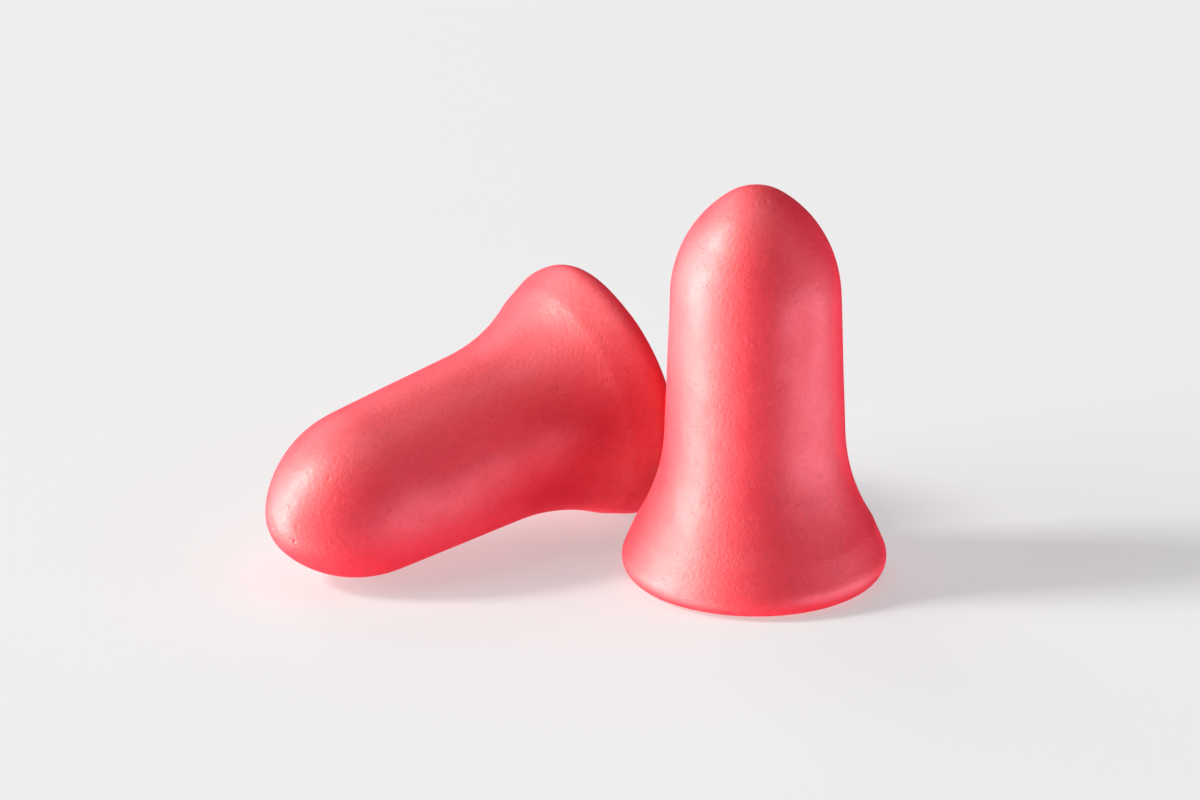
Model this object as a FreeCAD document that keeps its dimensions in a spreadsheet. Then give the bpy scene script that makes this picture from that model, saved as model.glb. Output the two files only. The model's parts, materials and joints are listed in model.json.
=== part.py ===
import FreeCAD, Part
import os
import Sketcher

# A loose pair of bell-shaped ear plugs. Each plug is one solid moulding of soft foam: a flared base
# that the fingers hold, and a slim stem with a rounded nose that goes into the ear.
# One plug stands on its base. The other lies beside it, on its flare and the shoulder of its nose.
# Millimetres, +Z up. The origin is on the table, under the middle of the box around the pair.

DIMENSIONS = [
    # One plug, measured from the middle of its base towards its nose.
    ("plug_length", 25.0),
    ("base_flat_radius", 6.9),
    ("rim_round_radius", 1.2),
    ("crease_radius", 7.34),
    ("crease_height", 3.25),
    ("stem_foot_radius", 5.5),
    ("stem_foot_height", 9.3),
    ("stem_top_radius", 5.2),
    ("stem_top_height", 18.2),
    ("tip_arc_radius", 3.2),
    # Where the two plugs are. Heading and tilt are in degrees; the tilt is nose down.
    ("upright_x", 10.83),
    ("upright_y", -4.42),
    ("lying_x", 1.85),
    ("lying_y", 6.33),
    ("lying_height", 8.203),
    ("lying_heading", 215.2),
    ("lying_tilt", 9.506),
]

PLACEMENTS = {
    "upright_plug": "placement(vector(Dimensions.upright_x; Dimensions.upright_y; 0); rotation(0; 0; 0))",
    "lying_plug": "placement(vector(Dimensions.lying_x; Dimensions.lying_y; Dimensions.lying_height);"
                  " rotation(Dimensions.lying_heading; 90 + Dimensions.lying_tilt; 0))",
}

FULL_TURN = 360
TABLE_TOLERANCE = 0.01
LEAST_GAP = 0.15

# Where the profile's arcs roughly run, before the sketch's constraints make them exact. The first
# two are steps from the rim's widest point and the third is one from the nose, each in radii of
# its own arc. The others are how far the middle of an arc bulges from its chord, in millimetres.
RIM_MIDDLE_STEP = (-0.3, -0.7)
BAND_FOOT_STEP = (-0.1, 0.4)
NOSE_SIDE_STEP = (0.58, -0.18)
FLARE_BULGE = -0.4
SHOULDER_BULGE = 1.0
TIP_BULGE = 0.15

START, END, CENTRE = 1, 2, 3
ORIGIN = (-1, START)
UP_AXIS = -2


def add_sheet(doc):
    """Adds the spreadsheet of driving dimensions, one named cell in a row for each."""
    sheet = doc.addObject("Spreadsheet::Sheet", "Dimensions")
    for row, (alias, value) in enumerate(DIMENSIONS, start=1):
        sheet.set(f"A{row}", alias)
        sheet.set(f"B{row}", str(value))
        sheet.setAlias(f"B{row}", alias)
    doc.recompute()
    return sheet


def point(radius, height):
    """A point of the profile, at a radius from the plug's axis and a height above its base."""
    return FreeCAD.Vector(radius, height, 0)


def middle_of(first, second, bulge):
    """The point halfway between two others, moved out from the axis by bulge."""
    return (first + second) * 0.5 + point(bulge, 0)


def profile_edges(sheet):
    """The profile's edges, from the base's middle round to the nose and back down the axis.

    Each arc starts close to its shape here; the sketch's constraints then make it exact.
    """
    rim = sheet.rim_round_radius
    middle, flat_edge = point(0, 0), point(sheet.base_flat_radius, 0)
    widest = flat_edge + point(rim, rim)
    band_foot = widest + point(*BAND_FOOT_STEP) * rim
    crease = point(sheet.crease_radius, sheet.crease_height)
    stem_foot = point(sheet.stem_foot_radius, sheet.stem_foot_height)
    stem_top = point(sheet.stem_top_radius, sheet.stem_top_height)
    nose = point(0, sheet.plug_length)
    nose_side = nose + point(*NOSE_SIDE_STEP) * sheet.tip_arc_radius
    return {
        "base": Part.LineSegment(middle, flat_edge),
        "rim": Part.Arc(flat_edge, widest + point(*RIM_MIDDLE_STEP) * rim, band_foot),
        "band": Part.LineSegment(band_foot, crease),
        "flare": Part.Arc(stem_foot, middle_of(crease, stem_foot, FLARE_BULGE), crease),
        "stem": Part.LineSegment(stem_foot, stem_top),
        "shoulder": Part.Arc(stem_top, middle_of(stem_top, nose_side, SHOULDER_BULGE), nose_side),
        "tip": Part.Arc(nose_side, middle_of(nose_side, nose, TIP_BULGE), nose),
        "axis": Part.LineSegment(nose, middle),
    }


def tie_edges(sketch, edge):
    """Joins the edges into one closed outline, smooth everywhere but at the soft crease."""
    smooth_joints = [
        ("base", END, "rim", START),
        ("rim", END, "band", START),
        ("flare", START, "stem", START),
        ("stem", END, "shoulder", START),
        ("shoulder", END, "tip", START),
    ]
    plain_joints = [
        ("band", END, "flare", END),
        ("tip", END, "axis", START),
        ("axis", END, "base", START),
    ]
    for first, first_end, second, second_end in smooth_joints:
        ends = edge[first], first_end, edge[second], second_end
        sketch.addConstraint(Sketcher.Constraint("Tangent", *ends))
    for first, first_end, second, second_end in plain_joints:
        ends = edge[first], first_end, edge[second], second_end
        sketch.addConstraint(Sketcher.Constraint("Coincident", *ends))
    sketch.addConstraint(Sketcher.Constraint("Coincident", edge["base"], START, *ORIGIN))
    sketch.addConstraint(Sketcher.Constraint("Horizontal", edge["base"]))
    sketch.addConstraint(Sketcher.Constraint("Vertical", edge["axis"]))
    sketch.addConstraint(Sketcher.Constraint("PointOnObject", edge["tip"], CENTRE, UP_AXIS))


def size_edges(sketch, edge, sheet):
    """Gives the outline its sizes, each bound to the cell of its name."""
    from_origin = [
        ("base_flat_radius", "DistanceX", "base", END),
        ("crease_radius", "DistanceX", "band", END),
        ("crease_height", "DistanceY", "band", END),
        ("stem_foot_radius", "DistanceX", "stem", START),
        ("stem_foot_height", "DistanceY", "stem", START),
        ("stem_top_radius", "DistanceX", "stem", END),
        ("stem_top_height", "DistanceY", "stem", END),
        ("plug_length", "DistanceY", "tip", END),
    ]
    arc_radii = [("rim_round_radius", "rim"), ("tip_arc_radius", "tip")]
    for alias, kind, name, end in from_origin:
        ends = ORIGIN + (edge[name], end)
        bind(sketch, alias, Sketcher.Constraint(kind, *ends, getattr(sheet, alias)))
    for alias, name in arc_radii:
        bind(sketch, alias, Sketcher.Constraint("Radius", edge[name], getattr(sheet, alias)))


def bind(sketch, alias, constraint):
    """Adds a constraint named after a cell, whose value is that cell's."""
    index = sketch.addConstraint(constraint)
    sketch.renameConstraint(index, alias)
    sketch.setExpression(f"Constraints.{alias}", f"Dimensions.{alias}")


def origin_plane(body, role):
    """The plane of a body's own origin that has this role."""
    return next(item for item in body.Origin.OriginFeatures if item.Role == role)


def add_plug(doc, sheet, label):
    """Adds one plug: its half profile, turned all the way round its axis, then put in its place."""
    body = doc.addObject("PartDesign::Body", label)
    body.Label = label
    sketch = body.newObject("Sketcher::SketchObject", f"{label}_profile")
    sketch.AttachmentSupport = [(origin_plane(body, "XZ_Plane"), "")]
    sketch.MapMode = "FlatFace"
    edge = {name: sketch.addGeometry(shape) for name, shape in profile_edges(sheet).items()}
    tie_edges(sketch, edge)
    size_edges(sketch, edge, sheet)
    doc.recompute()
    turned = body.newObject("PartDesign::Revolution", f"{label}_moulding")
    turned.Profile = sketch
    turned.ReferenceAxis = (sketch, ["V_Axis"])
    turned.Angle = FULL_TURN
    sketch.Visibility = False
    body.setExpression("Placement", PLACEMENTS[label])
    return body


def check_document(doc, plugs):
    """Stops with a message if an object failed, a shape is unsound or a plug is misplaced."""
    for item in doc.Objects:
        if "Invalid" in item.State or "Error" in item.State:
            raise RuntimeError(f"{item.Label} failed: {item.State}")
        if item.TypeId == "Sketcher::SketchObject" and not item.FullyConstrained:
            raise RuntimeError(f"{item.Label} is not fully constrained")
    for body in plugs:
        shape = body.Shape
        if shape.isNull() or not shape.isValid() or len(shape.Solids) != 1:
            raise RuntimeError(f"{body.Label} is not one valid solid")
        lowest = shape.optimalBoundingBox(False).ZMin
        if abs(lowest) > TABLE_TOLERANCE:
            raise RuntimeError(f"{body.Label} is {lowest:.3f} mm off the table")
    gap = plugs[0].Shape.distToShape(plugs[1].Shape)[0]
    if gap < LEAST_GAP:
        raise RuntimeError(f"the plugs are only {gap:.3f} mm apart")


def report_size(plugs):
    """Prints each plug's size and volume, and the box around the pair."""
    pair = FreeCAD.BoundBox()
    for body in plugs:
        box = body.Shape.optimalBoundingBox(False)
        pair.add(box)
        print(f"{body.Label}: {box.XLength:.2f} x {box.YLength:.2f} x {box.ZLength:.2f} mm,"
              f" {body.Shape.Volume:.0f} mm3")
    print(f"pair: middle {pair.Center.x:.3f}, {pair.Center.y:.3f}, lowest {pair.ZMin:.4f},"
          f" size {pair.XLength:.2f} x {pair.YLength:.2f} x {pair.ZLength:.2f} mm,"
          f" gap {plugs[0].Shape.distToShape(plugs[1].Shape)[0]:.3f} mm")


def main():
    doc = FreeCAD.newDocument("foam_ear_plugs")
    sheet = add_sheet(doc)
    plugs = [add_plug(doc, sheet, label) for label in PLACEMENTS]
    doc.recompute()
    check_document(doc, plugs)
    report_size(plugs)
    os.makedirs("parts", exist_ok=True)
    for body in plugs:
        body.Shape.exportStep(f"parts/{body.Label}.step")


main()
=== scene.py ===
"""Two loose foam ear plugs on a pale table: one stands on its flare and one lies beside it.

Each plug is one soft moulding, so the model is two pieces: a plug is turned up once from a circle,
ring by ring, and copied; each copy is laid in its place, then gets its pinholes and its own lumps.
Lengths are in metres and angles in degrees, and +Z is up. Places come from the frame.
"""

import json
import logging
import math
import random
from dataclasses import dataclass, field
from enum import Enum

import bpy
from mathutils import Matrix, Vector
from mathutils.kdtree import KDTree


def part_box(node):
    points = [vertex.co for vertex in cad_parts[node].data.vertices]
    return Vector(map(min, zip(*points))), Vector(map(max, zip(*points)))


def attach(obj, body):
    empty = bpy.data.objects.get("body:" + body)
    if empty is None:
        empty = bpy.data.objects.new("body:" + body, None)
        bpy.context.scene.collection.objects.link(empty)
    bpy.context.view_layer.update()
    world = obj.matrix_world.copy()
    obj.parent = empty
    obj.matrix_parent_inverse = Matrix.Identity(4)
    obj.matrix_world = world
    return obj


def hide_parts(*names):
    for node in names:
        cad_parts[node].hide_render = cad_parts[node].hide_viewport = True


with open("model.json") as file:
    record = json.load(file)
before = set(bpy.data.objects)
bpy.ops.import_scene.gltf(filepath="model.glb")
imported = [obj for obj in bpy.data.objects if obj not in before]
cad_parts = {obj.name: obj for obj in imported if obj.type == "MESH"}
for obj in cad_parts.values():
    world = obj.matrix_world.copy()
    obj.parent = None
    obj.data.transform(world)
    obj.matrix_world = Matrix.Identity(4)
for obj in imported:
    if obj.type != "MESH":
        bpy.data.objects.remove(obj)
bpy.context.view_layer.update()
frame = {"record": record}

log = logging.getLogger("ear_plugs")

MM = 0.001
UP = Vector((0.0, 0.0, 1.0))
OPEN_FACE = "open_face"
WARM = (1.0, 0.98, 0.88)
ROSY = (1.0, 0.50, 0.60)


class Side(Enum):
    """Which of the two faces of a plug's skin a set of pinholes is in."""

    SKIN = "skin"
    BASE = "base"


def deselect_all() -> None:
    """Clears the selection, so that an operator acts only on what is picked next."""
    bpy.ops.object.select_all(action="DESELECT")


def pick(piece: bpy.types.Object) -> None:
    """Makes one object the only selected one, and the active one.

    Args:
        piece: the object that the next operators act on.
    """
    deselect_all()
    piece.select_set(True)
    bpy.context.view_layer.objects.active = piece


def rest_place(piece: bpy.types.Object, matrix: Matrix) -> None:
    """Moves a piece's points, so that its object stays at the origin, unturned.

    Args:
        piece: the object whose mesh is moved.
        matrix: where the mesh goes, in the row frame.
    """
    piece.data.transform(matrix)
    piece.data.update()


@dataclass(frozen=True)
class Arc:
    """A stretch of a plug's outline that bends evenly from start to end about centre."""

    centre: Vector
    start: Vector
    end: Vector

    def points(self, step: float) -> list[Vector]:
        """Points along the arc, without its first one.

        Args:
            step: the longest allowed distance between two points.

        Returns:
            Evenly spaced points that end at the arc's end.
        """
        first, last = self.start - self.centre, self.end - self.centre
        turn = math.atan2(first.x * last.y - first.y * last.x, first.dot(last))
        count = max(1, math.ceil(abs(turn) * first.length / step))
        made = []
        for i in range(1, count + 1):
            angle = turn * i / count
            cos, sin = math.cos(angle), math.sin(angle)
            turned = Vector((first.x * cos - first.y * sin, first.x * sin + first.y * cos))
            made.append(self.centre + turned)
        return made


@dataclass(frozen=True)
class Straight:
    """A straight stretch of a plug's outline."""

    start: Vector
    end: Vector

    def points(self, step: float) -> list[Vector]:
        """Points along the line, without its first one.

        Args:
            step: the longest allowed distance between two points.

        Returns:
            Evenly spaced points that end at the line's end.
        """
        count = max(1, math.ceil((self.end - self.start).length / step))
        return [self.start.lerp(self.end, i / count) for i in range(1, count + 1)]


@dataclass(frozen=True)
class PlugProfile:
    """The outline of half a plug: radius from its axis against height above its base.

    A flat base, a rounded rim, a straight band up to a soft crease, a hollow flare, a slightly
    tapered stem, a wide shoulder and a tighter tip.
    """

    length: float = 25.0 * MM
    base_flat: float = 6.9 * MM
    rim_round: float = 1.2 * MM
    crease_radius: float = 7.34 * MM
    crease_height: float = 3.25 * MM
    foot_radius: float = 5.5 * MM
    foot_height: float = 9.3 * MM
    top_radius: float = 5.2 * MM
    top_height: float = 18.2 * MM
    tip_arc: float = 3.2 * MM

    @property
    def tip_centre(self) -> Vector:
        """The middle of the tip's arc, on the axis."""
        return Vector((0.0, self.length - self.tip_arc))

    def band(self) -> tuple[Arc, Straight]:
        """The rounded rim and the band above it, which meet smoothly.

        Returns:
            The rim's arc and the straight band up to the crease.
        """
        centre = Vector((self.base_flat, self.rim_round))
        crease = Vector((self.crease_radius, self.crease_height))
        apart = crease - centre
        turn = math.atan2(apart.y, apart.x) - math.acos(self.rim_round / apart.length)
        meeting = centre + Vector((math.cos(turn), math.sin(turn))) * self.rim_round
        return Arc(centre, Vector((self.base_flat, 0.0)), meeting), Straight(meeting, crease)

    def outline(self) -> list[Arc | Straight]:
        """The whole outline from the rim's foot to the middle of the nose.

        Returns:
            The stretches in order, each starting where the one before it ends.
        """
        rim, band = self.band()
        foot = Vector((self.foot_radius, self.foot_height))
        top = Vector((self.top_radius, self.top_height))
        along = (top - foot).normalized()
        outward = Vector((along.y, -along.x))
        drop = band.end - foot
        flare_radius = drop.length_squared / (2 * outward.dot(drop))
        flare = Arc(foot + outward * flare_radius, band.end, foot)
        reach = top - self.tip_centre
        spare = outward.dot(reach) - self.tip_arc
        shoulder_radius = (reach.length_squared - self.tip_arc**2) / (2 * spare)
        shoulder_centre = top - outward * shoulder_radius
        meeting = self.tip_centre + (self.tip_centre - shoulder_centre).normalized() * self.tip_arc
        shoulder = Arc(shoulder_centre, top, meeting)
        tip = Arc(self.tip_centre, meeting, Vector((0.0, self.length)))
        return [rim, band, flare, Straight(foot, top), shoulder, tip]

    def stations(self, step: float, cap_radius: float) -> list[Vector]:
        """Where the rings of a plug's mesh go, up to the cap that closes its nose.

        Args:
            step: the longest distance between two rings.
            cap_radius: the radius inside which no ring is made.

        Returns:
            Radius and height of each ring, from the base's edge up.
        """
        made = [Vector((self.base_flat, 0.0))]
        for stretch in self.outline():
            made += stretch.points(step)
        return [place for place in made if place.x > cap_radius]


@dataclass(frozen=True)
class Pinholes:
    """Small burst cells in a plug's surface: soft-edged pits, scattered at random."""

    side: Side
    count: int
    radius: tuple[float, float]
    depth: tuple[float, float]
    seed: int

    def press(self, mesh: bpy.types.Mesh, marks: list[float]) -> None:
        """Presses the pits into a mesh, each at a point picked on this side.

        Args:
            mesh: the plug's mesh, whose points are moved inwards.
            marks: for each point, 1 on the base and 0 on the skin.
        """
        wanted = 1.0 if self.side is Side.BASE else 0.0
        homes = [i for i, mark in enumerate(marks) if mark == wanted]
        tree = KDTree(len(mesh.vertices))
        for index, vertex in enumerate(mesh.vertices):
            tree.insert(vertex.co, index)
        tree.balance()
        inward = [-vertex.normal.copy() for vertex in mesh.vertices]
        dice = random.Random(self.seed)
        for _ in range(self.count):
            home = mesh.vertices[dice.choice(homes)].co.copy()
            radius, depth = dice.uniform(*self.radius), dice.uniform(*self.depth)
            for _, index, distance in tree.find_range(home, radius):
                bowl = (1.0 - (distance / radius) ** 2) ** 2
                mesh.vertices[index].co += inward[index] * depth * bowl


@dataclass(frozen=True)
class Lumps:
    """The gentle unevenness of a foam surface, as cloudy bumps of one size."""

    name: str
    size: float
    height: float
    depth: int

    def apply(self, piece: bpy.types.Object) -> None:
        """Raises the lumps on a piece that is in its place, and keeps the result.

        Args:
            piece: the plug, whose points are moved along their normals.
        """
        texture = bpy.data.textures.new(self.name, "CLOUDS")
        texture.noise_scale = self.size
        texture.noise_depth = self.depth
        pick(piece)
        modifier = piece.modifiers.new(self.name, "DISPLACE")
        modifier.texture = texture
        modifier.texture_coords = "LOCAL"
        modifier.strength = self.height
        modifier.mid_level = 0.5
        bpy.ops.object.modifier_apply(modifier=modifier.name)


@dataclass(frozen=True)
class Bulge:
    """A broad, soft swelling at the top of one moulding that came out of round.

    Its middle is at this height along the plug and this radius from its axis, reach is how far it
    spreads from there, and rise is how much it stands out.
    """

    height: float
    radius: float
    reach: float
    rise: float

    def swell(self, mesh: bpy.types.Mesh, base: Vector, axis: Vector) -> None:
        """Raises the swelling on a plug that is in its place.

        Args:
            mesh: the plug's mesh, whose points are moved upwards.
            base: the middle of the plug's base.
            axis: the direction from its base to its nose.
        """
        upwards = (UP - axis * UP.dot(axis)).normalized()
        middle = base + axis * self.height + upwards * self.radius
        for vertex in mesh.vertices:
            distance = (vertex.co - middle).length
            if distance < self.reach:
                vertex.co += upwards * self.rise * (1.0 - (distance / self.reach) ** 2) ** 2


@dataclass(frozen=True)
class Cloud:
    """A cloudy pattern for the foam's skin.

    It has per_mm features to a millimetre and detail finer layers, each roughness times as strong
    as the last, and span is the part of its range that counts.
    """

    per_mm: float
    detail: float
    span: tuple[float, float] = (0.0, 1.0)
    roughness: float = 0.6


@dataclass(frozen=True)
class FoamFinish:
    """Coral-red foam with a satin moulded skin: fine grain, burst cells with painted shade in them,
    and a slight mottle.
    """

    name: str = "coral_foam"
    colour: tuple[float, float, float] = (0.67, 0.008, 0.036)
    # Painted shade: a darker red put into the open cells, where shade falls in the pits.
    cell_shade_colour: tuple[float, float, float] = (0.46, 0.006, 0.026)
    pale_colour: tuple[float, float, float] = (0.72, 0.020, 0.052)
    roughness: tuple[float, float] = (0.56, 0.66)
    cell_dullness: float = 0.22
    refraction: float = 1.8
    gloss: float = 0.72
    coat: float = 0.35
    coat_roughness: float = 0.38
    glow_depth: float = 1.3 * MM
    glow_by_colour: tuple[float, float, float] = (1.0, 0.2, 0.2)
    cells_per_mm: float = 4.2
    cell_edge: tuple[float, float] = (0.10, 0.42)
    open_on_base: float = 0.8
    # How far the open cells are darkened towards the painted shade colour.
    cell_shade_share: float = 0.55
    cell_hollow: float = -0.45
    bump_height: float = 0.034 * MM
    open_patches: Cloud = Cloud(0.9, 3.0, (0.45, 0.72))
    mottle: Cloud = Cloud(2.4, 3.0, (0.35, 0.65))
    mottle_share: float = 0.8
    dull_patches: Cloud = Cloud(0.5, 4.0, (0.3, 0.7))
    grain: Cloud = Cloud(4.5, 3.0)

    def build(self) -> bpy.types.Material:
        """Makes the foam's material from its nodes.

        Returns:
            The material, which every plug shares.
        """
        material = bpy.data.materials.new(self.name)
        material.use_nodes = True
        tree = material.node_tree
        tree.nodes.clear()
        places = self._places(tree)
        cells = self._cells(tree, places)
        shader = self._shader(tree)
        tree.links.new(self._colour(tree, places, cells), shader.inputs["Base Color"])
        tree.links.new(self._roughness(tree, places, cells), shader.inputs["Roughness"])
        tree.links.new(self._bump(tree, places, cells), shader.inputs["Normal"])
        output = tree.nodes.new("ShaderNodeOutputMaterial")
        tree.links.new(shader.outputs["BSDF"], output.inputs["Surface"])
        return material

    def _places(self, tree: bpy.types.NodeTree) -> bpy.types.NodeSocket:
        """Object coordinates in millimetres, which the patterns are sized in.

        Args:
            tree: the material's node tree.

        Returns:
            The socket that gives the coordinates.
        """
        coordinates = tree.nodes.new("ShaderNodeTexCoord")
        mapping = tree.nodes.new("ShaderNodeMapping")
        mapping.inputs["Scale"].default_value = (1.0 / MM,) * 3
        tree.links.new(coordinates.outputs["Object"], mapping.inputs["Vector"])
        return mapping.outputs["Vector"]

    def _noise(
        self, tree: bpy.types.NodeTree, places: bpy.types.NodeSocket, cloud: Cloud
    ) -> bpy.types.NodeSocket:
        """The noise of a cloudy pattern, over its whole range.

        Args:
            tree: the material's node tree.
            places: the coordinates in millimetres.
            cloud: the pattern.

        Returns:
            The socket that gives the noise, from 0 to 1.
        """
        noise = tree.nodes.new("ShaderNodeTexNoise")
        noise.inputs["Scale"].default_value = cloud.per_mm
        noise.inputs["Detail"].default_value = cloud.detail
        noise.inputs["Roughness"].default_value = cloud.roughness
        tree.links.new(places, noise.inputs["Vector"])
        return noise.outputs["Fac"]

    def _range(
        self,
        tree: bpy.types.NodeTree,
        value: bpy.types.NodeSocket,
        source: tuple[float, float],
        target: tuple[float, float],
    ) -> bpy.types.NodeSocket:
        """A value smoothly moved from one range to another, and kept in it.

        Args:
            tree: the material's node tree.
            value: the socket that gives the value.
            source: the value's range that counts.
            target: what the ends of that range become.

        Returns:
            The socket that gives the new value.
        """
        moved = tree.nodes.new("ShaderNodeMapRange")
        moved.interpolation_type = "SMOOTHSTEP"
        for socket, number in zip(("From Min", "From Max"), source):
            moved.inputs[socket].default_value = number
        for socket, number in zip(("To Min", "To Max"), target):
            moved.inputs[socket].default_value = number
        tree.links.new(value, moved.inputs["Value"])
        return moved.outputs["Result"]

    def _math(
        self,
        tree: bpy.types.NodeTree,
        operation: str,
        first: bpy.types.NodeSocket | float,
        second: bpy.types.NodeSocket | float,
    ) -> bpy.types.NodeSocket:
        """One sum of two values.

        Args:
            tree: the material's node tree.
            operation: the Math node's operation.
            first: a socket or a number.
            second: a socket or a number.

        Returns:
            The socket that gives the result.
        """
        node = tree.nodes.new("ShaderNodeMath")
        node.operation = operation
        for socket, value in zip(node.inputs, (first, second)):
            if isinstance(value, bpy.types.NodeSocket):
                tree.links.new(value, socket)
            else:
                socket.default_value = value
        return node.outputs["Value"]

    def _cells(
        self, tree: bpy.types.NodeTree, places: bpy.types.NodeSocket
    ) -> bpy.types.NodeSocket:
        """Where the foam's cells are open: a few in the skin, and most on the base.

        Args:
            tree: the material's node tree.
            places: the coordinates in millimetres.

        Returns:
            The socket that is 1 in an open cell and 0 on closed skin.
        """
        cells = tree.nodes.new("ShaderNodeTexVoronoi")
        cells.inputs["Scale"].default_value = self.cells_per_mm
        tree.links.new(places, cells.inputs["Vector"])
        pits = self._range(tree, cells.outputs["Distance"], self.cell_edge, (1.0, 0.0))
        noise = self._noise(tree, places, self.open_patches)
        patches = self._range(tree, noise, self.open_patches.span, (0.0, 1.0))
        mark = tree.nodes.new("ShaderNodeAttribute")
        mark.attribute_name = OPEN_FACE
        base = self._math(tree, "MULTIPLY", mark.outputs["Fac"], self.open_on_base)
        share = self._math(tree, "MAXIMUM", patches, base)
        return self._math(tree, "MULTIPLY", pits, share)

    def _colour(
        self,
        tree: bpy.types.NodeTree,
        places: bpy.types.NodeSocket,
        cells: bpy.types.NodeSocket,
    ) -> bpy.types.NodeSocket:
        """The foam's colour: a slight mottle, with painted shade darkening the open cells.

        Args:
            tree: the material's node tree.
            places: the coordinates in millimetres.
            cells: the socket that says where cells are open.

        Returns:
            The socket that gives the colour.
        """
        noise = self._noise(tree, places, self.mottle)
        share = self._range(tree, noise, self.mottle.span, (0.0, self.mottle_share))
        pale = self._mix(tree, share, self.colour, self.pale_colour)
        # Painted shade: the open cells are darkened towards the shade colour.
        depth = self._math(tree, "MULTIPLY", cells, self.cell_shade_share)
        return self._mix(tree, depth, pale, self.cell_shade_colour)

    def _mix(
        self,
        tree: bpy.types.NodeTree,
        share: bpy.types.NodeSocket,
        first: bpy.types.NodeSocket | tuple[float, float, float],
        second: bpy.types.NodeSocket | tuple[float, float, float],
    ) -> bpy.types.NodeSocket:
        """Two colours mixed by a share.

        Args:
            tree: the material's node tree.
            share: the socket that gives the second colour's share.
            first: a colour or the socket that gives one.
            second: a colour or the socket that gives one.

        Returns:
            The socket that gives the mixed colour.
        """
        mix = tree.nodes.new("ShaderNodeMix")
        mix.data_type = "RGBA"
        tree.links.new(share, mix.inputs["Factor"])
        for name, value in (("A", first), ("B", second)):
            socket = next(s for s in mix.inputs if s.name == name and s.type == "RGBA")
            if isinstance(value, bpy.types.NodeSocket):
                tree.links.new(value, socket)
            else:
                socket.default_value = (*value, 1.0)
        return next(s for s in mix.outputs if s.type == "RGBA")

    def _roughness(
        self,
        tree: bpy.types.NodeTree,
        places: bpy.types.NodeSocket,
        cells: bpy.types.NodeSocket,
    ) -> bpy.types.NodeSocket:
        """Satin skin with slightly duller patches, and dull open cells.

        Args:
            tree: the material's node tree.
            places: the coordinates in millimetres.
            cells: the socket that says where cells are open.

        Returns:
            The socket that gives the roughness.
        """
        noise = self._noise(tree, places, self.dull_patches)
        patches = self._range(tree, noise, self.dull_patches.span, self.roughness)
        dull = self._math(tree, "MULTIPLY", cells, self.cell_dullness)
        return self._math(tree, "ADD", patches, dull)

    def _bump(
        self,
        tree: bpy.types.NodeTree,
        places: bpy.types.NodeSocket,
        cells: bpy.types.NodeSocket,
    ) -> bpy.types.NodeSocket:
        """The skin's fine grain and the open cells' hollows, as a change of normal.

        Args:
            tree: the material's node tree.
            places: the coordinates in millimetres.
            cells: the socket that says where cells are open.

        Returns:
            The socket that gives the normal.
        """
        grain = self._noise(tree, places, self.grain)
        hollow = self._math(tree, "MULTIPLY", cells, self.cell_hollow)
        height = self._math(tree, "ADD", grain, hollow)
        bump = tree.nodes.new("ShaderNodeBump")
        bump.inputs["Strength"].default_value = 1.0
        bump.inputs["Distance"].default_value = self.bump_height
        tree.links.new(height, bump.inputs["Height"])
        return bump.outputs["Normal"]

    def _shader(self, tree: bpy.types.NodeTree) -> bpy.types.Node:
        """The foam's shader with the numbers that are the same all over.

        Args:
            tree: the material's node tree.

        Returns:
            The shader's node.
        """
        shader = tree.nodes.new("ShaderNodeBsdfPrincipled")
        shader.inputs["IOR"].default_value = self.refraction
        shader.inputs["Specular IOR Level"].default_value = self.gloss
        shader.inputs["Subsurface Weight"].default_value = 1.0
        shader.inputs["Subsurface Radius"].default_value = self.glow_by_colour
        shader.inputs["Subsurface Scale"].default_value = self.glow_depth
        shader.inputs["Coat Weight"].default_value = self.coat
        shader.inputs["Coat Roughness"].default_value = self.coat_roughness
        return shader


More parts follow.
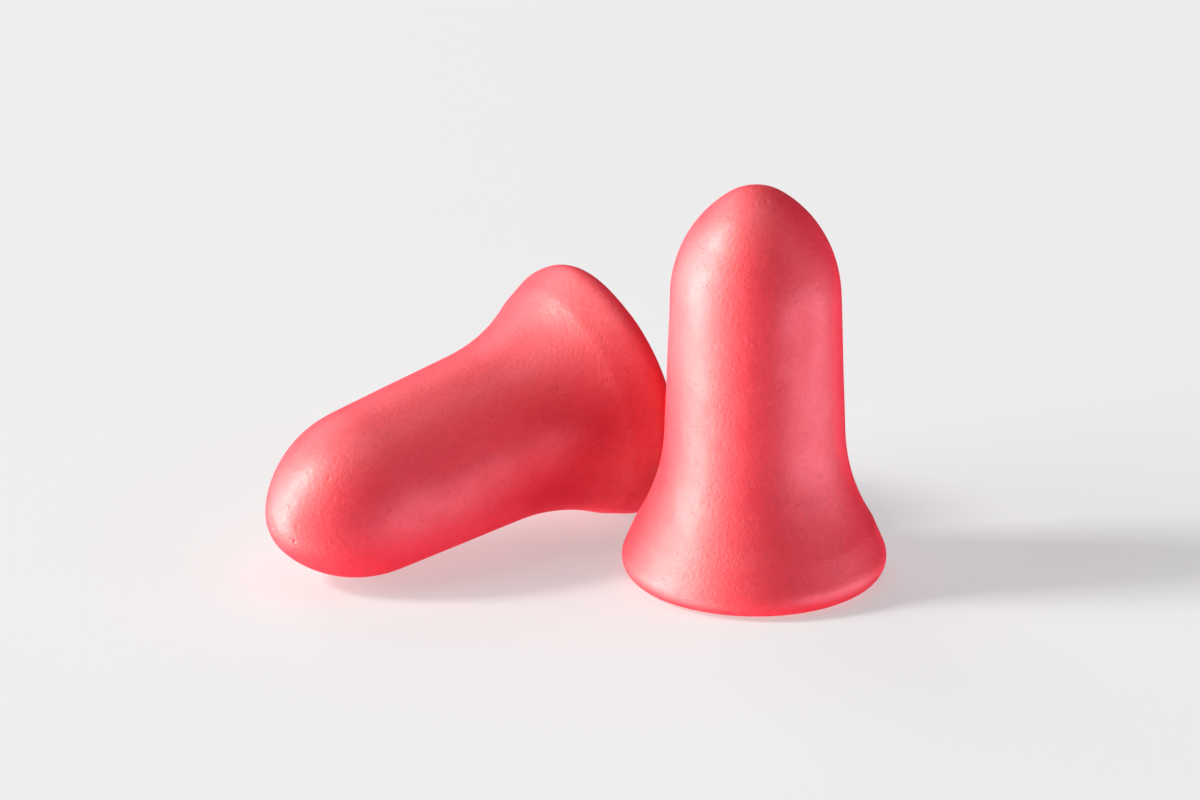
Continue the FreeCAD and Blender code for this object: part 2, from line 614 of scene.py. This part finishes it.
@dataclass
class FoamPlug:
    """One plug: its sizes, how its mesh is made and where it goes."""

    profile: PlugProfile = field(default_factory=PlugProfile)
    around: int = 160
    ring_step: float = 0.25 * MM
    cap_radius: float = 1.5 * MM
    base_dish: float = 0.18 * MM
    dish_reach: float = 0.97
    tolerance: float = 0.001 * MM
    skin_holes: Pinholes = Pinholes(
        Side.SKIN, 420, radius=(0.10 * MM, 0.26 * MM), depth=(0.006 * MM, 0.022 * MM), seed=11
    )
    base_holes: Pinholes = Pinholes(
        Side.BASE, 150, radius=(0.12 * MM, 0.34 * MM), depth=(0.03 * MM, 0.10 * MM), seed=23
    )
    swells: Lumps = Lumps("swells", 5.0 * MM, 0.05 * MM, 1)
    ripples: Lumps = Lumps("ripples", 0.9 * MM, 0.010 * MM, 3)
    fill: float = 1.0

    @property
    def grid_span(self) -> int:
        """How many edges of a round hole are one side of the grid that fills it."""
        return self.around // 4

    def turn_up(self) -> bpy.types.Object:
        """Turns up one plug on the origin, from the ring at its base to its nose.

        Returns:
            The plug's object, standing on its base at the origin.
        """
        stations = self.profile.stations(self.ring_step, self.cap_radius)
        deselect_all()
        bpy.ops.mesh.primitive_circle_add(vertices=self.around, radius=stations[0].x)
        plug = bpy.context.object
        plug.name = plug.data.name = "plug_pattern"
        bpy.ops.object.mode_set(mode="EDIT")
        bpy.ops.mesh.select_all(action="SELECT")
        for lower, upper in zip(stations, stations[1:]):
            rise = {"value": (0.0, 0.0, upper.y - lower.y)}
            bpy.ops.mesh.extrude_region_move(TRANSFORM_OT_translate=rise)
            spread = upper.x / lower.x
            bpy.ops.transform.resize(value=(spread, spread, 1.0))
        bpy.ops.mesh.fill_grid(span=self.grid_span)
        self._fill_base(plug)
        bpy.ops.mesh.select_all(action="SELECT")
        bpy.ops.mesh.normals_make_consistent(inside=False)
        bpy.ops.object.mode_set(mode="OBJECT")
        self._crown_nose(plug.data, stations[-1].x)
        self._smooth(plug)
        self._dish_base(plug.data)
        return plug

    def _fill_base(self, plug: bpy.types.Object) -> None:
        """Closes the plug's open base with a grid of faces, in edit mode.

        Args:
            plug: the plug, whose lowest ring is still open.
        """
        bpy.ops.mesh.select_all(action="DESELECT")
        bpy.ops.mesh.select_mode(type="EDGE")
        bpy.ops.object.mode_set(mode="OBJECT")
        points = plug.data.vertices
        for edge in plug.data.edges:
            edge.select = all(points[i].co.z < self.tolerance for i in edge.vertices)
        bpy.ops.object.mode_set(mode="EDIT")
        bpy.ops.mesh.fill_grid(span=self.grid_span)

    def _crown_nose(self, mesh: bpy.types.Mesh, edge: float) -> None:
        """Raises the flat cap of the nose onto the tip's arc.

        Args:
            mesh: the plug's mesh.
            edge: the cap's outer radius.
        """
        tip = self.profile.tip_arc
        for vertex in mesh.vertices:
            radius = vertex.co.xy.length
            if vertex.co.z > self.profile.top_height and radius < edge - self.tolerance:
                vertex.co.z = self.profile.tip_centre.y + math.sqrt(tip**2 - radius**2)

    def _smooth(self, plug: bpy.types.Object) -> None:
        """Subdivides the plug once and shades it smooth.

        Args:
            plug: the plug's object.
        """
        pick(plug)
        modifier = plug.modifiers.new("smooth", "SUBSURF")
        modifier.levels = modifier.render_levels = 1
        bpy.ops.object.modifier_apply(modifier=modifier.name)
        bpy.ops.object.shade_smooth()

    def _dish_base(self, mesh: bpy.types.Mesh) -> None:
        """Sinks the middle of the base a little, and marks the base's points.

        Args:
            mesh: the plug's mesh, standing on the origin.
        """
        mark = mesh.attributes.new(OPEN_FACE, "FLOAT", "POINT")
        reach = self.profile.base_flat * self.dish_reach
        for vertex in mesh.vertices:
            radius = vertex.co.xy.length
            if vertex.co.z < self.tolerance and radius < reach:
                mark.data[vertex.index].value = 1.0
                vertex.co.z += self.base_dish * (1.0 - (radius / reach) ** 2) ** 2

    def lay(
        self,
        pattern: bpy.types.Object,
        name: str,
        nose: Vector,
        axis: Vector,
        bulges: tuple[Bulge, ...],
    ) -> bpy.types.Object:
        """Copies the pattern, lays it in its place and finishes its surface.

        Args:
            pattern: the plug that turn_up made.
            name: the new piece's name.
            nose: the tip of its nose in the row frame.
            axis: the direction from its base to its nose.
            bulges: where this plug is out of round.

        Returns:
            The new piece.
        """
        plug = pattern.copy()
        plug.data = pattern.data.copy()
        plug.name = plug.data.name = name
        bpy.context.scene.collection.objects.link(plug)
        base = nose - axis * self.profile.length
        heading = UP.rotation_difference(axis)
        rest_place(plug, Matrix.Translation(base) @ heading.to_matrix().to_4x4())
        for bulge in bulges:
            bulge.swell(plug.data, base, axis)
        marks = [item.value for item in plug.data.attributes[OPEN_FACE].data]
        for holes in (self.skin_holes, self.base_holes):
            holes.press(plug.data, marks)
        for lumps in (self.swells, self.ripples):
            lumps.apply(plug)
        return plug


@dataclass(frozen=True)
class SoftBox:
    """A square studio light that faces the plugs, placed by where it is seen from them."""

    name: str
    azimuth: float
    elevation: float
    brightness: float
    tint: tuple[float, float, float] = (1.0, 1.0, 1.0)
    distance: float = 2.4
    size: float = 1.28

    def place(self, target: Vector) -> None:
        """Adds the light, turned to the target.

        Args:
            target: the point that the light faces.
        """
        turn, rise = math.radians(self.azimuth), math.radians(self.elevation)
        ahead = Vector((math.sin(turn), -math.cos(turn), 0.0))
        way = ahead * math.cos(rise) + UP * math.sin(rise)
        data = bpy.data.lights.new(self.name, "AREA")
        data.shape = "SQUARE"
        data.size = self.size
        data.energy = self.brightness * math.pi * self.size**2
        data.color = self.tint
        lamp = bpy.data.objects.new(self.name, data)
        lamp.location = target + way * self.distance
        lamp.rotation_mode = "QUATERNION"
        lamp.rotation_quaternion = (-way).to_track_quat("-Z", "Y")
        lamp.visible_camera = False
        bpy.context.scene.collection.objects.link(lamp)


@dataclass(frozen=True)
class Studio:
    """The plain pale floor, the soft lights and the camera."""

    floor_size: float = 8.0
    floor_colour: tuple[float, float, float] = (0.36, 0.372, 0.40)
    floor_glow: float = 0.435
    floor_roughness: float = 0.9
    floor_clearance: float = 0.02 * MM
    world_brightness: float = 0.05
    view_x: float = 1.42 * MM
    view_height: float = 11.28 * MM
    camera_elevation: float = 21.33
    camera_distance: float = 0.6
    camera_lens: float = 296.6
    sensor_width: float = 36.0
    lights: tuple[SoftBox, ...] = (
        SoftBox("key", -82.0, 10.0, 12.8, WARM),
        SoftBox("key_core", -86.0, 37.0, 86.0, WARM, size=0.45),
        SoftBox("key_below", -82.0, -16.0, 12.5, WARM),
        SoftBox("key_foot", -66.0, -45.0, 5.0, WARM),
        SoftBox("key_behind", -114.0, 2.0, 3.6, WARM),
        SoftBox("rim", -150.0, 36.0, 2.2),
        SoftBox("top", 0.0, 89.0, 2.1),
        SoftBox("front_below", 32.0, -42.0, 0.7, ROSY),
        SoftBox("fill_below", 52.0, -16.0, 6.4, ROSY),
        SoftBox("fill_above", 72.0, 36.0, 1.7, ROSY),
        SoftBox("fill_side", 91.0, -16.0, 6.8, ROSY),
    )

    def lay_floor(self, height: float) -> bpy.types.Object:
        """Adds the floor just under the plugs.

        It takes their shadows, but hides no light from them and isn't mirrored in their skin, as if
        it were a sheet of lit glass. So the boxes that reach below it still shine on the plugs.

        Args:
            height: how high the lowest point of the plugs is.

        Returns:
            The floor's object.
        """
        deselect_all()
        bpy.ops.mesh.primitive_plane_add(size=self.floor_size)
        floor = bpy.context.object
        floor.name = "floor"
        rest_place(floor, Matrix.Translation(UP * (height - self.floor_clearance)))
        material = bpy.data.materials.new("pale_floor")
        material.use_nodes = True
        shader = material.node_tree.nodes["Principled BSDF"]
        shader.inputs["Base Color"].default_value = (*self.floor_colour, 1.0)
        shader.inputs["Emission Color"].default_value = (1.0, 1.0, 1.0, 1.0)
        shader.inputs["Emission Strength"].default_value = self.floor_glow
        shader.inputs["Roughness"].default_value = self.floor_roughness
        shader.inputs["Specular IOR Level"].default_value = 0.0
        floor.data.materials.append(material)
        floor.visible_shadow = False
        floor.visible_glossy = False
        return floor

    def fill_air(self) -> None:
        """Fills the room with a little even light, which reaches the sides that no box does."""
        world = bpy.data.worlds.new("studio_air")
        world.use_nodes = True
        background = world.node_tree.nodes["Background"]
        background.inputs["Strength"].default_value = self.world_brightness
        bpy.context.scene.world = world

    def set_camera(self, target: Vector) -> None:
        """Adds the camera in front of the plugs and makes it the scene's camera.

        Args:
            target: the point in the middle of the view.
        """
        rise = math.radians(self.camera_elevation)
        back = Vector((0.0, -math.cos(rise), math.sin(rise)))
        data = bpy.data.cameras.new("studio_camera")
        data.lens = self.camera_lens
        data.sensor_width = self.sensor_width
        camera = bpy.data.objects.new("studio_camera", data)
        camera.location = target + back * self.camera_distance
        camera.rotation_mode = "QUATERNION"
        camera.rotation_quaternion = (-back).to_track_quat("-Z", "Y")
        bpy.context.scene.collection.objects.link(camera)
        bpy.context.scene.camera = camera


OUT_OF_ROUND: dict[str, tuple[Bulge, ...]] = {
    "upright_plug": (),
    "lying_plug": (
        Bulge(height=1.6 * MM, radius=8.1 * MM, reach=4.5 * MM, rise=0.25 * MM),
    ),
}


def stem_mount(name: str) -> tuple[Vector, Vector]:
    """Where a plug's nose is and which way it points, as the record says.

    Args:
        name: the name of the plug's stem mount.

    Returns:
        The tip of the nose, and the direction from the base to it.
    """
    mount = next(m for m in frame["record"]["mounts"] if m["name"] == name)
    return Vector(mount["pos_m"]), Vector(mount["axis"]).normalized()


def main() -> None:
    """Builds the plugs and the studio, in order."""
    logging.basicConfig(level=logging.INFO, format="%(message)s")
    maker = FoamPlug()
    foam = FoamFinish().build()
    pattern = maker.turn_up()
    pattern.data.materials.append(foam)
    for node, bulges in OUT_OF_ROUND.items():
        nose, axis = stem_mount(node.replace("plug", "stem"))
        plug = maker.lay(pattern, f"{node}_foam", nose, axis, bulges)
        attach(plug, node)
        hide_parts(node)
        log.info("%s: %d faces", plug.name, len(plug.data.polygons))
    bpy.data.objects.remove(pattern)
    low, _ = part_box("upright_plug")
    nose, _ = stem_mount("upright_stem")
    studio = Studio()
    studio.lay_floor(low.z)
    studio.fill_air()
    middle = Vector((studio.view_x, nose.y, studio.view_height))
    for light in studio.lights:
        light.place(middle)
    studio.set_camera(middle)
    bpy.context.scene.view_settings.view_transform = "Standard"


if __name__ == "__main__":
    main()
